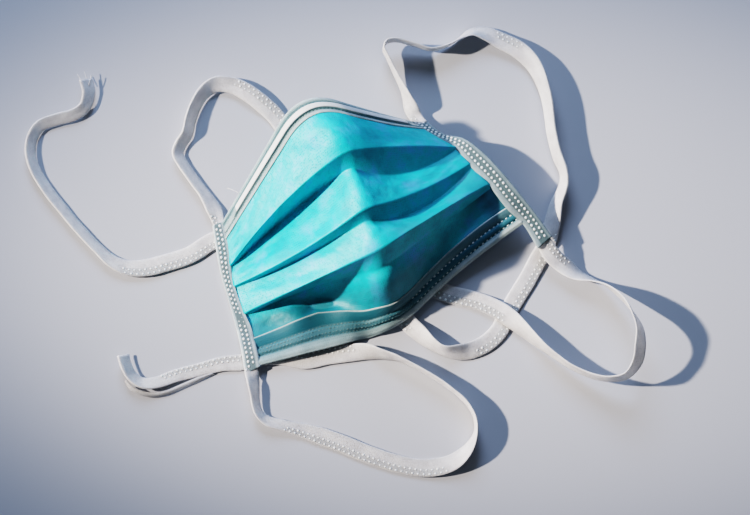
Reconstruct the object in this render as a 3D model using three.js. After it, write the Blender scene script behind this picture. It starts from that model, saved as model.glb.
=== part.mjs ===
// A tie-on surgical face mask lying on a flat surface, its pleats half open over a centre ridge.
// Millimetres, +Z up. The origin is on the surface, under the middle of the mask without its ties.
import * as THREE from 'three';

// Driving sizes of the mask, in mm
const maskLength = 175;       // from binding to binding, along the nose edge
const maskBreadth = 95;       // from the nose edge to the chin edge, along a binding
const domeHeight = 50;        // the centre ridge above the surface
const panelWall = 1.0;        // the three layers of cloth, pressed together
const hemWall = 1.2;
const topHemWidth = 10;
const bottomHemWidth = 20;
const bindingWall = 2.0;      // the folded tape with the ends of the pleats in it
const tapeWidth = 10;
const tapeThick = 1.0;
const wireWidth = 4.0;
const wireThick = 0.8;
const wireShare = 0.84;       // of the top hem's length
const clearance = 0.3;        // between pieces that touch
const seamGap = 0.7;          // from the cloth's ends, and from the bindings, to the line where they meet
const lieAngle = 26;          // degrees from +X to the mask's length, as it lies
const tapeFloorGap = 0.1;     // under a tape that lies on the surface

// Shares of the wall and of the width over which a binding's long sides are rounded
const bindingRound = { drop: 0.35, reach: 0.12 };

// The slope on each side of the wire's channel, as a share of topHemWidth
const hemSlope = 0.08;

// Divisions along the mask, across the chin hem, along a binding and along a tie
const stations = 30;
const bottomHemCells = 4;
const bindingSteps = 22;
const tapeSteps = 64;

// How much closer together the divisions are at the ridge, 1 being even
const ridgeCrowding = 1.35;

// Keeps the wall's direction bounded where faces meet at a sharp angle
const wallDamping = 0.06;

// Places on the mask as it lies: along its length, across it towards the nose, and above the surface,
// as shares of maskLength, maskBreadth and domeHeight.
const leftInner = [
  { along: -0.412, across: 0.503, up: 0.080 },
  { along: -0.431, across: 0.344, up: 0.074 },
  { along: -0.460, across: 0.200, up: 0.036 },
  { along: -0.475, across: 0.038, up: 0.030 },
  { along: -0.478, across: -0.120, up: 0.030 },
  { along: -0.492, across: -0.252, up: 0.076 },
  { along: -0.505, across: -0.349, up: 0.080 },
];
const leftOuter = [
  { along: -0.445, across: 0.506, up: 0.080 },
  { along: -0.465, across: 0.388, up: 0.074 },
  { along: -0.487, across: 0.237, up: 0.036 },
  { along: -0.501, across: 0.075, up: 0.030 },
  { along: -0.515, across: -0.071, up: 0.030 },
  { along: -0.533, across: -0.216, up: 0.076 },
  { along: -0.554, across: -0.351, up: 0.080 },
];
const rightInner = [
  { along: 0.262, across: 0.565, up: 0.030 },
  { along: 0.294, across: 0.430, up: 0.190 },
  { along: 0.341, across: 0.292, up: 0.300 },
  { along: 0.358, across: 0.160, up: 0.325 },
  { along: 0.383, across: 0.014, up: 0.325 },
  { along: 0.403, across: -0.160, up: 0.290 },
  { along: 0.428, across: -0.275, up: 0.240 },
  { along: 0.437, across: -0.440, up: 0.215 },
];
const rightOuter = [
  { along: 0.296, across: 0.574, up: 0.030 },
  { along: 0.330, across: 0.400, up: 0.200 },
  { along: 0.378, across: 0.307, up: 0.320 },
  { along: 0.410, across: 0.182, up: 0.355 },
  { along: 0.433, across: 0.044, up: 0.355 },
  { along: 0.452, across: -0.094, up: 0.330 },
  { along: 0.473, across: -0.261, up: 0.270 },
  { along: 0.489, across: -0.415, up: 0.215 },
];

// A row for each line across the mask, from the nose edge to the chin edge. left and right are shares of
// the binding, from its upper end. lift is added at both ends, as a share of panelWall. soft is the
// length over which the ridge is rounded, as a share of half the line.
const foldLines = [
  { name: 'nose edge', left: 0.00, right: 0.00, lift: 0.0, soft: 0.26,
    leftMid: { along: -0.222, across: 0.707, up: 0.52 },
    ridge: { along: -0.031, across: 0.905, up: 1.00 },
    rightMid: { along: 0.134, across: 0.675, up: 0.56 } },
  { name: 'first crease', left: 0.255, right: 0.290, lift: 0.6, soft: 0.08,
    leftMid: { along: -0.221, across: 0.405, up: 0.56 },
    ridge: { along: 0.012, across: 0.466, up: 1.02 },
    rightMid: { along: 0.175, across: 0.390, up: 0.72 } },
  { name: 'first recess', left: 0.275, right: 0.305, lift: -0.6, soft: 0.06,
    leftMid: { along: -0.239, across: 0.290, up: 0.36 },
    ridge: { along: 0.006, across: 0.394, up: 0.88 },
    rightMid: { along: 0.146, across: 0.256, up: 0.56 } },
  { name: 'second crease', left: 0.405, right: 0.425, lift: 0.6, soft: 0.10,
    leftMid: { along: -0.247, across: 0.087, up: 0.52 },
    ridge: { along: -0.012, across: 0.134, up: 0.96 },
    rightMid: { along: 0.160, across: 0.116, up: 0.66 } },
  { name: 'second recess', left: 0.425, right: 0.445, lift: -0.6, soft: 0.06,
    leftMid: { along: -0.245, across: 0.074, up: 0.38 },
    ridge: { along: -0.022, across: 0.082, up: 0.82 },
    rightMid: { along: 0.147, across: 0.027, up: 0.52 } },
  { name: 'third crease', left: 0.570, right: 0.575, lift: 0.6, soft: 0.12,
    leftMid: { along: -0.240, across: -0.057, up: 0.50 },
    ridge: { along: -0.014, across: -0.088, up: 0.86 },
    rightMid: { along: 0.186, across: -0.045, up: 0.58 } },
  { name: 'third recess', left: 0.590, right: 0.595, lift: -0.6, soft: 0.08,
    leftMid: { along: -0.253, across: -0.059, up: 0.18 },
    ridge: { along: -0.049, across: -0.182, up: 0.60 },
    rightMid: { along: 0.185, across: -0.095, up: 0.40 } },
  { name: 'chin edge', left: 0.985, right: 0.860, lift: 0.0, soft: 0.22,
    leftMid: { along: -0.289, across: -0.424, up: 0.115 },
    ridge: { along: -0.053, across: -0.505, up: 0.074 },
    rightMid: { along: 0.165, across: -0.369, up: 0.100 } },
];

// Where the chin edge sags to the surface: its side from the ridge, and its length and depth as shares
// of half the edge and of domeHeight
const chinRest = { side: -0.21, spread: 0.10, drop: 0.085 };

// The cloth between two fold lines: how many divisions, and how far it bulges, as a share of domeHeight
const faces = [
  { name: 'top face', cells: 5, bulge: 0.050 },
  { name: 'first return', cells: 2, bulge: -0.010 },
  { name: 'second face', cells: 4, bulge: 0.030 },
  { name: 'second return', cells: 2, bulge: -0.010 },
  { name: 'third face', cells: 4, bulge: 0.030 },
  { name: 'third return', cells: 2, bulge: -0.010 },
  { name: 'chin face', cells: 5, bulge: -0.040 },
];

// Width of the chin hem along the mask, as shares of bottomHemWidth, from the left binding to the right
const bottomHemSpread = [0.75, 1.00, 0.72, 0.70, 0.60];

// The ties' routes by hand: x, y and z of the tape's middle line in mm, and its roll in degrees from flat
const tieRoutes = {
  tie_top_left: [
    [-89, 12, 3, 0], [-92, 17.5, 3.4, -12], [-97, 24, 3.6, -22], [-103, 33, 3.6, -22],
    [-109, 42.5, 3.4, -18], [-111, 49, 3.6, -5], [-109.5, 53.5, 4.6, 30], [-106.5, 59.5, 5.4, 62],
    [-104, 69, 5.6, 68], [-100, 79, 5.4, 62], [-95.5, 86.5, 4.8, 45], [-89, 89.5, 3.6, 25],
    [-80.5, 88, 3.2, 15], [-72.5, 84, 3.2, 12], [-64.5, 78, 2.6, 10], [-57, 71, 1.4, 4],
    [-50, 59, 0.8, 0], [-48, 44.5, 0.8, 0], [-52.5, 28.5, 0.8, 0], [-63, 15.5, 0.8, 0],
    [-76, 6.5, 0.8, 0], [-90.5, 1.5, 0.8, 0], [-103.5, -6.5, 1, 6], [-117, -11, 1.6, 14],
    [-127, -13.5, 2, 18], [-137.5, -14, 2, 14], [-146, -9.5, 2.2, -8], [-153, -2, 3.6, -35],
    [-163.5, 9, 4.8, -55], [-175, 21.5, 5.2, -58], [-185.5, 36, 5.4, -58], [-191, 46.5, 6, -58],
    [-191, 56, 7, -56], [-187, 63, 8.2, -54], [-179, 67, 10, -52], [-171, 69, 12, -50],
    [-164, 71.5, 14, -46], [-160, 75.5, 15.5, -42], [-159, 80.5, 16.5, -40], [-161, 86.5, 17.5, -38],
  ],
  tie_bottom_left: [
    [-68.2, -71.8, 3, 0], [-67.5, -75, 4.2, 28], [-67, -82, 5.2, 58], [-66, -88.5, 5.4, 62],
    [-63.5, -94, 5.2, 62], [-59, -97.5, 4.4, 50], [-52.5, -99.5, 2.8, 28], [-40.5, -103, 1, 5],
    [-22.5, -109, 0.8, 0], [-5, -116, 0.8, 0], [13, -121.5, 0.8, 0], [27.5, -123, 1, -6],
    [40, -120, 2.2, -22], [48, -113, 4.2, -55], [52, -104.5, 5.4, -80], [51.5, -96, 5.6, -86],
    [47, -88, 5.6, -86], [37.5, -79.5, 5.6, -86], [25, -71.5, 5.6, -86], [11.5, -64.5, 5.4, -82],
    [1, -61.5, 4.8, -62], [-7, -60, 3.2, -32], [-15.5, -60.5, 1.5, -10], [-27.5, -62, 0.8, 0],
    [-40.5, -64.5, 0.8, 0], [-51, -62.5, 0.8, 0], [-63.5, -62.5, 0.8, 0], [-74, -65.5, 0.8, 0],
    [-85, -66.5, 0.8, 0], [-97, -69.5, 0.9, -3], [-110, -73.5, 1.6, -14], [-121.5, -77.5, 3, -30],
    [-129.5, -78, 4.6, -42], [-135, -74.5, 6.4, -48], [-138, -69, 8.4, -48], [-139, -63.5, 10.2, -46],
  ],
  tie_top_right: [
    [20, 71, 2.6, 0], [17, 77.5, 4.6, -42], [14, 85, 5.2, -62], [9, 95, 5.6, -80],
    [4.5, 104.5, 5.6, -84], [2.5, 109.5, 5.6, -84], [5, 113, 5.6, -84], [11.5, 113.5, 5.6, -84],
    [20, 111, 5.6, -84], [29.5, 108.5, 5.6, -84], [37.5, 110.5, 5.6, -82], [45, 114.5, 5.4, -74],
    [52, 118, 5, -52], [60, 117, 4.2, -26], [68.5, 113, 3.6, -4], [77.5, 108, 4.2, 14],
    [85, 100, 5.6, 36], [90, 89, 7, 54], [93, 76, 7.6, 62], [94.5, 62, 7.6, 64],
    [97.5, 48.5, 7, 66], [101, 39, 6.2, 70], [101, 32, 5.8, 64], [97, 21.5, 5, 48],
    [94.5, 10, 3, 24], [91.5, -1, 0.8, 0], [86.5, -10, 0.8, 0], [80.5, -21, 0.8, 0],
    [74, -31.5, 0.8, 0], [69.5, -39.5, 0.8, 0], [65.5, -48, 0.8, 0], [58.5, -55, 0.8, 0],
    [50.5, -59, 1, -4], [41.5, -60.5, 1.8, -14], [32.5, -58.5, 2.8, -26], [25, -54.5, 3, -28],
    [18, -48.5, 2, -16], [12, -40.5, 0.8, 0], [7.5, -31.5, 0.8, 0], [5.5, -20.5, 0.8, 0],
  ],
  tie_bottom_right: [
    [90, -3, 9.6, 10], [94.5, -8.5, 9.4, 14], [100.5, -14, 9.4, 26], [107.5, -19, 9.8, 40],
    [115.5, -22, 11, 42], [123.5, -26, 13, 36], [130.5, -32, 15.5, 20], [136, -40, 17.5, 0],
    [140, -50, 19, -18], [140, -59, 19, -26], [138.5, -67.5, 17.5, -38], [133, -74.5, 15, -55],
    [124.5, -76, 12, -68], [115, -74, 9, -74], [103.5, -68.5, 7, -76], [93, -61, 6.2, -74],
    [83.5, -53, 5.6, -62], [75.5, -45.5, 4.6, -36], [68.5, -39.5, 3.2, -12], [60, -34.5, 1.8, -2],
    [50.5, -31, 0.9, 0], [41.5, -29, 0.8, 0], [32, -26, 0.8, 0], [23, -21, 0.8, 0],
    [15.5, -13.5, 0.8, 0],
  ],
};

const turned = THREE.MathUtils.degToRad(lieAngle);

// A place on the lying mask from its shares
function place({ along, across, up }) {
  const point = new THREE.Vector3(along * maskLength, across * maskBreadth, 0);
  point.applyAxisAngle(new THREE.Vector3(0, 0, 1), turned);
  point.z = up * domeHeight;
  return point;
}

// A smooth line through the places of a table
function edgeCurve(table) {
  return new THREE.CatmullRomCurve3(table.map(place), false, 'centripetal');
}

const bindingEdges = {
  left: { inner: edgeCurve(leftInner), outer: edgeCurve(leftOuter) },
  right: { inner: edgeCurve(rightInner), outer: edgeCurve(rightOuter) },
};

// The point of a parabola through three points, at a share of its length
function parabola(first, middle, last, share) {
  return new THREE.Vector3()
    .addScaledVector(first, (1 - share) * (1 - 2 * share))
    .addScaledVector(middle, 4 * share * (1 - share))
    .addScaledVector(last, share * (2 * share - 1));
}

// A fold line as a function of side, from -1 at the left binding over 0 at the ridge to 1 at the right
function foldLine(row) {
  const lift = new THREE.Vector3(0, 0, row.lift * panelWall);
  const leftEnd = bindingEdges.left.inner.getPoint(row.left).add(lift);
  const rightEnd = bindingEdges.right.inner.getPoint(row.right).add(lift);
  const leftMid = place(row.leftMid);
  const rightMid = place(row.rightMid);
  const ridge = place(row.ridge);
  const sharp = (side) => (side < 0
    ? parabola(leftEnd, leftMid, ridge, 1 + side)
    : parabola(ridge, rightMid, rightEnd, side));
  return softened(sharp, row.soft);
}

// The same line with its ridge rounded over a length on each side
function softened(line, soft) {
  return (side) => {
    if (Math.abs(side) >= soft) {
      return line(side);
    }
    const share = (side + soft) / (2 * soft);
    return new THREE.Vector3()
      .addScaledVector(line(-soft), (1 - share) ** 2)
      .addScaledVector(line(0), 2 * share * (1 - share))
      .addScaledVector(line(soft), share ** 2);
  };
}

// A line that lies a width in from one line towards another
function inset(from, towards, width) {
  return (side) => {
    const start = from(side);
    const step = towards(side).sub(start);
    return start.addScaledVector(step.normalize(), width(side));
  };
}

// A value between the entries of a short list, for side from -1 to 1
function spread(list, side) {
  const position = (side + 1) / 2 * (list.length - 1);
  const below = Math.min(Math.floor(position), list.length - 2);
  return THREE.MathUtils.lerp(list[below], list[below + 1], position - below);
}

// Sides at which the cloth is divided, closer together at the ridge
function sideStations(from, to, count) {
  const sides = [];
  for (let i = 0; i <= count; i += 1) {
    const even = -1 + 2 * i / count;
    const side = Math.sign(even) * Math.abs(even) ** ridgeCrowding;
    sides.push(THREE.MathUtils.mapLinear(side, -1, 1, from, to));
  }
  return sides;
}

// Directions in which each point of a grid moves for its wall, so that all faces round it keep a depth
function wallDirections(grid) {
  const rows = grid.length;
  const columns = grid[0].length;
  const normals = [];
  for (let r = 0; r < rows - 1; r += 1) {
    normals.push([]);
    for (let c = 0; c < columns - 1; c += 1) {
      const across = grid[r + 1][c + 1].clone().sub(grid[r][c]);
      const along = grid[r][c + 1].clone().sub(grid[r + 1][c]);
      normals[r].push(across.cross(along).normalize());
    }
  }
  return grid.map((line, r) => line.map((_, c) => {
    const around = [[r - 1, c - 1], [r - 1, c], [r, c - 1], [r, c]]
      .filter(([i, j]) => i >= 0 && j >= 0 && i < rows - 1 && j < columns - 1)
      .map(([i, j]) => normals[i][j]);
    const sum = around.reduce((total, n) => total.add(n), new THREE.Vector3());
    const products = new Array(9).fill(0);
    around.forEach((n) => {
      const e = [n.x, n.y, n.z];
      for (let i = 0; i < 9; i += 1) {
        products[i] += e[Math.floor(i / 3)] * e[i % 3];
      }
    });
    [0, 4, 8].forEach((i) => {
      products[i] += wallDamping;
    });
    return sum.applyMatrix3(new THREE.Matrix3().set(...products).invert());
  }));
}

// A closed body from two grids of points of the same layout, the upper one facing out
function closedBody(upper, lower) {
  const rows = upper.length;
  const columns = upper[0].length;
  const corners = [];
  upper.forEach((line) => line.forEach((p) => corners.push(p.x, p.y, p.z)));
  lower.forEach((line) => line.forEach((p) => corners.push(p.x, p.y, p.z)));
  const top = (r, c) => r * columns + c;
  const under = (r, c) => rows * columns + r * columns + c;
  const triangles = [];
  const quad = (a, b, c, d) => triangles.push(a, b, c, a, c, d);
  for (let r = 0; r < rows - 1; r += 1) {
    for (let c = 0; c < columns - 1; c += 1) {
      quad(top(r, c), top(r + 1, c), top(r + 1, c + 1), top(r, c + 1));
      quad(under(r, c), under(r, c + 1), under(r + 1, c + 1), under(r + 1, c));
    }
  }
  for (let c = 0; c < columns - 1; c += 1) {
    quad(top(0, c), top(0, c + 1), under(0, c + 1), under(0, c));
    quad(top(rows - 1, c + 1), top(rows - 1, c), under(rows - 1, c), under(rows - 1, c + 1));
  }
  for (let r = 0; r < rows - 1; r += 1) {
    quad(top(r + 1, 0), top(r, 0), under(r, 0), under(r + 1, 0));
    quad(top(r, columns - 1), top(r + 1, columns - 1), under(r + 1, columns - 1), under(r, columns - 1));
  }
  const body = new THREE.BufferGeometry();
  body.setAttribute('position', new THREE.Float32BufferAttribute(corners, 3));
  body.setIndex(triangles);
  body.computeVertexNormals();
  return body;
}

// A wall under a grid of points, flattened where it meets the surface it lies on
function clothWall(grid, wall, directions = wallDirections(grid)) {
  const upper = grid.map((line) => line.map((p) => p.clone().setZ(Math.max(p.z, wall))));
  const lower = upper.map((line, r) => line.map((p, c) => {
    const point = p.clone().addScaledVector(directions[r][c], -wall);
    point.z = p.z > wall ? Math.max(point.z, 0) : 0;
    return point;
  }));
  return closedBody(upper, lower);
}

// A line with a sag down to the surface it lies on
function sagging(line, rest) {
  return (side) => {
    const point = line(side);
    const away = (side - rest.side) / rest.spread;
    point.z -= rest.drop * domeHeight * Math.exp(-(away ** 2));
    return point;
  };
}

const lines = foldLines.map(foldLine);
lines.push(sagging(lines.pop(), chinRest));
const noseEdge = lines[0];
const chinEdge = lines[lines.length - 1];
const topHemLine = inset(noseEdge, lines[1], () => topHemWidth);
const bottomHemLine = inset(chinEdge, lines[lines.length - 2],
  (side) => bottomHemWidth * spread(bottomHemSpread, side));

// The cloth between two lines, with a bulge upwards, as rows of points
function clothRows(upperLine, lowerLine, shares, bulge, sides) {
  return shares.map((share) => sides.map((side) => {
    const point = upperLine(side).lerp(lowerLine(side), share);
    point.z += bulge * domeHeight * 4 * share * (1 - share) * (1 - side ** 4);
    return point;
  }));
}

// Shares from 0 to 1 in even steps
function evenShares(cells) {
  return Array.from({ length: cells + 1 }, (_, i) => i / cells);
}

// The nose hem's section: share of the hem's width, and how far it stands over the wire
const wireLift = wireThick + clearance;
const wireRim = (wireWidth / 2 + clearance) / topHemWidth;
const topHemSection = [
  { across: 0, lift: 0 },
  { across: 0.5 - wireRim - hemSlope, lift: 0 },
  { across: 0.5 - wireRim, lift: wireLift },
  { across: 0.5 + wireRim, lift: wireLift },
  { across: 0.5 + wireRim + hemSlope, lift: 0 },
  { across: 1, lift: 0 },
];

// Rows of the whole cloth from the nose edge to the chin edge, with the piece that each row is part of
const sides = sideStations(-1, 1, stations);
const clothPieces = [];
const clothGrid = [];
function addRows(name, rows) {
  rows.forEach((row) => {
    clothPieces.push(name);
    clothGrid.push(row);
  });
}
const topHemShares = topHemSection.map(({ across }) => across);
addRows('top_hem', clothRows(noseEdge, topHemLine, topHemShares, 0, sides));
const panelLines = lines.slice();
panelLines[0] = inset(topHemLine, lines[1], () => clearance);
panelLines[lines.length - 1] = inset(bottomHemLine, lines[lines.length - 2], () => clearance);
faces.forEach((face, i) => {
  const rows = clothRows(panelLines[i], panelLines[i + 1], evenShares(face.cells), face.bulge, sides);
  addRows('filter_panel', i === 0 ? rows : rows.slice(1));
});
addRows('bottom_hem', clothRows(bottomHemLine, chinEdge, evenShares(bottomHemCells), 0, sides));
endGap(clothGrid, seamGap);
const clothDirections = wallDirections(clothGrid);

// Moves both ends of a grid in from the bindings
function endGap(grid, gap) {
  grid.forEach((row) => {
    const last = row.length - 1;
    row[0].addScaledVector(row[1].clone().sub(row[0]).normalize(), gap);
    row[last].addScaledVector(row[last - 1].clone().sub(row[last]).normalize(), gap);
  });
}

// The rows of one piece, with the directions of their wall, and a lift of each row along them
function clothPiece(name, wall, lifts) {
  const own = clothPieces.map((piece, i) => (piece === name ? i : -1)).filter((i) => i >= 0);
  const directions = own.map((i) => clothDirections[i]);
  const grid = own.map((i, r) => clothGrid[i].map((point, c) => (
    point.clone().addScaledVector(directions[r][c], lifts ? lifts[r] : 0))));
  return clothWall(grid, wall, directions);
}

// The flat wire in the channel under the nose hem
function noseWire() {
  const rim = wireWidth / 2 / topHemWidth;
  const wireSides = sideStations(-wireShare, wireShare, stations);
  const flat = clothRows(noseEdge, topHemLine, [0.5 - rim, 0.5 + rim], 0, wireSides);
  const directions = wallDirections(flat);
  const upper = flat.map((row, r) => row.map((point, c) => (
    point.addScaledVector(directions[r][c], wireLift - hemWall - clearance))));
  return clothWall(upper, wireThick, directions);
}

// A binding between its inner and its outer edge, with rounded long sides
function binding({ inner, outer }, facing) {
  const section = [
    { across: 0, drop: bindingRound.drop },
    { across: bindingRound.reach, drop: 0 },
    { across: 1 - bindingRound.reach, drop: 0 },
    { across: 1, drop: bindingRound.drop },
  ];
  const grid = section.map(({ across, drop }) => {
    const row = [];
    for (let i = 0; i <= bindingSteps; i += 1) {
      const start = inner.getPoint(i / bindingSteps);
      const width = outer.getPoint(i / bindingSteps).sub(start);
      const first = seamGap / width.length();
      const point = start.addScaledVector(width, first + across * (1 - first));
      point.z -= drop * bindingWall;
      row.push(point);
    }
    return row;
  });
  return clothWall(facing > 0 ? grid.reverse() : grid, bindingWall);
}

// The corners round a tape's section, as shares of tapeWidth and tapeThick
const tapeSection = [
  { across: -0.5, up: 0 },
  { across: -0.42, up: 0.5 },
  { across: 0, up: 0.5 },
  { across: 0.42, up: 0.5 },
  { across: 0.5, up: 0 },
  { across: 0.42, up: -0.5 },
  { across: 0, up: -0.5 },
  { across: -0.42, up: -0.5 },
];

// A flat tape along a route, rolled about its middle line
function tape(route) {
  const middleLine = new THREE.CatmullRomCurve3(
    route.map(([x, y, z]) => new THREE.Vector3(x, y, z)), false, 'centripetal');
  const rolls = new THREE.CatmullRomCurve3(
    route.map(([, , , roll]) => new THREE.Vector3(roll, 0, 0)), false, 'centripetal');
  const corners = [];
  const triangles = [];
  for (let i = 0; i <= tapeSteps; i += 1) {
    const share = i / tapeSteps;
    const point = middleLine.getPoint(share);
    const ahead = middleLine.getTangent(share);
    const level = new THREE.Vector3(-ahead.y, ahead.x, 0).normalize();
    const roll = THREE.MathUtils.degToRad(rolls.getPoint(share).x);
    const width = level.clone().applyAxisAngle(ahead, roll);
    const depth = ahead.clone().cross(width);
    const ring = tapeSection.map(({ across, up }) => point.clone()
      .addScaledVector(width, across * tapeWidth)
      .addScaledVector(depth, up * tapeThick));
    const low = Math.min(...ring.map((p) => p.z));
    ring.forEach((p) => corners.push(p.x, p.y, p.z + Math.max(0, tapeFloorGap - low)));
  }
  const around = tapeSection.length;
  for (let i = 0; i < tapeSteps; i += 1) {
    for (let s = 0; s < around; s += 1) {
      const a = i * around + s;
      const b = i * around + (s + 1) % around;
      triangles.push(a, b + around, b, a, a + around, b + around);
    }
  }
  const end = tapeSteps * around;
  for (let s = 1; s < around - 1; s += 1) {
    triangles.push(0, s, s + 1, end, end + s + 1, end + s);
  }
  const body = new THREE.BufferGeometry();
  body.setAttribute('position', new THREE.Float32BufferAttribute(corners, 3));
  body.setIndex(triangles);
  body.computeVertexNormals();
  return body;
}

const tealCloth = new THREE.MeshStandardMaterial({ color: 0x1fa3b8, roughness: 0.85, metalness: 0 });
const whiteCloth = new THREE.MeshStandardMaterial({ color: 0xdfe6e8, roughness: 0.9, metalness: 0 });
const wireCoat = new THREE.MeshStandardMaterial({ color: 0xf2f5f5, roughness: 0.5, metalness: 0 });
const whiteTape = new THREE.MeshStandardMaterial({ color: 0xe2e2e4, roughness: 0.9, metalness: 0 });

// A named piece in a group
function piece(group, name, shape, material) {
  const mesh = new THREE.Mesh(shape, material);
  mesh.name = name;
  group.add(mesh);
}

const maskBody = new THREE.Group();
piece(maskBody, 'filter_panel', clothPiece('filter_panel', panelWall), tealCloth);
const topHemLifts = topHemSection.map(({ lift }) => lift);
piece(maskBody, 'top_hem', clothPiece('top_hem', hemWall, topHemLifts), whiteCloth);
piece(maskBody, 'nose_wire', noseWire(), wireCoat);
piece(maskBody, 'bottom_hem', clothPiece('bottom_hem', hemWall), whiteCloth);
piece(maskBody, 'left_binding', binding(bindingEdges.left, -1), whiteTape);
piece(maskBody, 'right_binding', binding(bindingEdges.right, 1), whiteTape);

const ties = new THREE.Group();
Object.entries(tieRoutes).forEach(([name, route]) => piece(ties, name, tape(route), whiteTape));

// The mask and its ties, moved so that the origin is under the middle of the mask
const mask = new THREE.Group();
mask.add(maskBody, ties);
const boxCentre = new THREE.Box3().setFromObject(maskBody).getCenter(new THREE.Vector3());
mask.position.set(-boxCentre.x, -boxCentre.y, 0);

export default mask;
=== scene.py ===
import math
import bpy
import numpy as np
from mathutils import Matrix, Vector, noise


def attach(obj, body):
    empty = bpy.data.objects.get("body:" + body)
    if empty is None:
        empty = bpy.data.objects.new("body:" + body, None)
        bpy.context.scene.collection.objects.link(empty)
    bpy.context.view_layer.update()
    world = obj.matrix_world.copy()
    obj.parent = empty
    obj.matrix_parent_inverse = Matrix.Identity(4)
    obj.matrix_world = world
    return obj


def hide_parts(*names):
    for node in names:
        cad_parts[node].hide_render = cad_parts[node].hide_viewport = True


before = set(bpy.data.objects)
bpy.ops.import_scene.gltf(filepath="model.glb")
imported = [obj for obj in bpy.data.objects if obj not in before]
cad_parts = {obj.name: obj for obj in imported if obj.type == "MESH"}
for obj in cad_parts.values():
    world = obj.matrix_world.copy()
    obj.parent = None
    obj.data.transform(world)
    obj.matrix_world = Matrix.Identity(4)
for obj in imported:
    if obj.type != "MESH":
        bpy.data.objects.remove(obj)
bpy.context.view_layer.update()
print("frame loaded:", len(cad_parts), "nodes")


def smoothLine(points):  # a centripetal Catmull-Rom line through rows of numbers; the first three are a place
    line = np.array(points, float)
    ends = np.vstack([2 * line[0] - line[1], line, 2 * line[-1] - line[-2]])

    def at(share):
        position = np.clip(np.atleast_1d(share), 0, 1) * (len(line) - 1)
        k = np.minimum(position.astype(int), len(line) - 2)
        w = (position - k)[:, None]
        p = [ends[k + i] for i in range(4)]
        knots = [np.linalg.norm((b - a)[:, :3], axis=1, keepdims=True) ** 0.5 for a, b in zip(p, p[1:])]
        d0, d1, d2 = (np.maximum(knot, 1e-4) for knot in knots)
        t1 = ((p[1] - p[0]) / d0 - (p[2] - p[0]) / (d0 + d1) + (p[2] - p[1]) / d1) * d1
        t2 = ((p[2] - p[1]) / d1 - (p[3] - p[1]) / (d1 + d2) + (p[3] - p[2]) / d2) * d1
        return (p[1] + t1 * w + (-3 * p[1] + 3 * p[2] - 2 * t1 - t2) * w ** 2
                + (2 * p[1] - 2 * p[2] + t1 + t2) * w ** 3)
    return at


def unit(v):
    return v / np.maximum(np.linalg.norm(v, axis=-1, keepdims=True), 1e-12)


def wallDirections(grid, damping=0.06):  # where each point moves, so that all faces round it keep one depth
    across = grid[1:, 1:] - grid[:-1, :-1]
    along = grid[:-1, 1:] - grid[1:, :-1]
    normals = unit(np.cross(across, along))
    rows, columns = grid.shape[:2]
    total = np.zeros((rows, columns, 3))
    products = np.zeros((rows, columns, 3, 3))
    outer = normals[..., :, None] * normals[..., None, :]
    for r in (0, 1):
        for c in (0, 1):
            total[r:rows - 1 + r, c:columns - 1 + c] += normals
            products[r:rows - 1 + r, c:columns - 1 + c] += outer
    products += damping * np.eye(3)
    return np.einsum("rcij,rcj->rci", np.linalg.inv(products), total)


def hillNoise(places, size, seed):  # smooth noise from -1 to 1, one number for each place
    flat = np.asarray(places).reshape(-1, 3) / size
    offset = Vector((seed * 7.31, seed * 3.17, seed * 5.53))
    values = [noise.noise(Vector(p) + offset) for p in flat.tolist()]
    return np.array(values).reshape(np.asarray(places).shape[:-1])


def addObject(name, data):
    piece = bpy.data.objects.new(name, data)
    bpy.context.collection.objects.link(piece)
    return piece


def meshObject(name, points, faces, uvs=None, tones=None):  # a smooth mesh; the tones go to its points
    mesh = bpy.data.meshes.new(name)
    mesh.from_pydata([tuple(p) for p in points], [], faces)
    if uvs is not None:
        layer = mesh.uv_layers.new(name="clothMap")
        corners = np.zeros(len(mesh.loops), dtype=np.int32)
        mesh.loops.foreach_get("vertex_index", corners)
        layer.data.foreach_set("uv", np.asarray(uvs)[corners].ravel())
    for key, values in (tones or {}).items():
        attribute = mesh.attributes.new(key, "FLOAT", "POINT")
        attribute.data.foreach_set("value", np.asarray(values, float).ravel())
    mesh.polygons.foreach_set("use_smooth", [True] * len(mesh.polygons))
    mesh.update()
    return addObject(name, mesh)


def clothShell(name, grid, wall, directions, uv, tones=None):  # a closed wall under a grid of points
    rows, columns = grid.shape[:2]
    upper = grid.copy()
    upper[..., 2] = np.maximum(upper[..., 2], wall)
    lower = upper - directions * wall
    lower[..., 2] = np.where(upper[..., 2] > wall, np.maximum(lower[..., 2], 0), 0)
    top = np.arange(rows * columns).reshape(rows, columns)
    under = top + rows * columns
    faces = []

    def quads(a, b, c, d):
        faces.extend(np.stack([a, b, c, d], axis=-1).reshape(-1, 4).tolist())
    quads(top[:-1, :-1], top[1:, :-1], top[1:, 1:], top[:-1, 1:])
    quads(under[:-1, :-1], under[:-1, 1:], under[1:, 1:], under[1:, :-1])
    quads(top[0, :-1], top[0, 1:], under[0, 1:], under[0, :-1])
    quads(top[-1, 1:], top[-1, :-1], under[-1, :-1], under[-1, 1:])
    quads(top[1:, 0], top[:-1, 0], under[:-1, 0], under[1:, 0])
    quads(top[:-1, -1], top[1:, -1], under[1:, -1], under[:-1, -1])
    points = np.vstack([upper.reshape(-1, 3), lower.reshape(-1, 3)])
    twice = {key: np.concatenate([value.ravel(), value.ravel()]) for key, value in (tones or {}).items()}
    return meshObject(name, points, faces, np.vstack([uv.reshape(-1, 2)] * 2), twice)


def tubeFaces(rings, sides, first=0):  # the faces of a closed tube of rings, its two ends with them
    index = np.arange(rings * sides).reshape(rings, sides) + first
    after = np.roll(index, -1, axis=1)
    faces = np.stack([index[:-1], after[:-1], after[1:], index[1:]], axis=-1).reshape(-1, 4).tolist()
    return faces + [index[0][::-1].tolist(), index[-1].tolist()]


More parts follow.
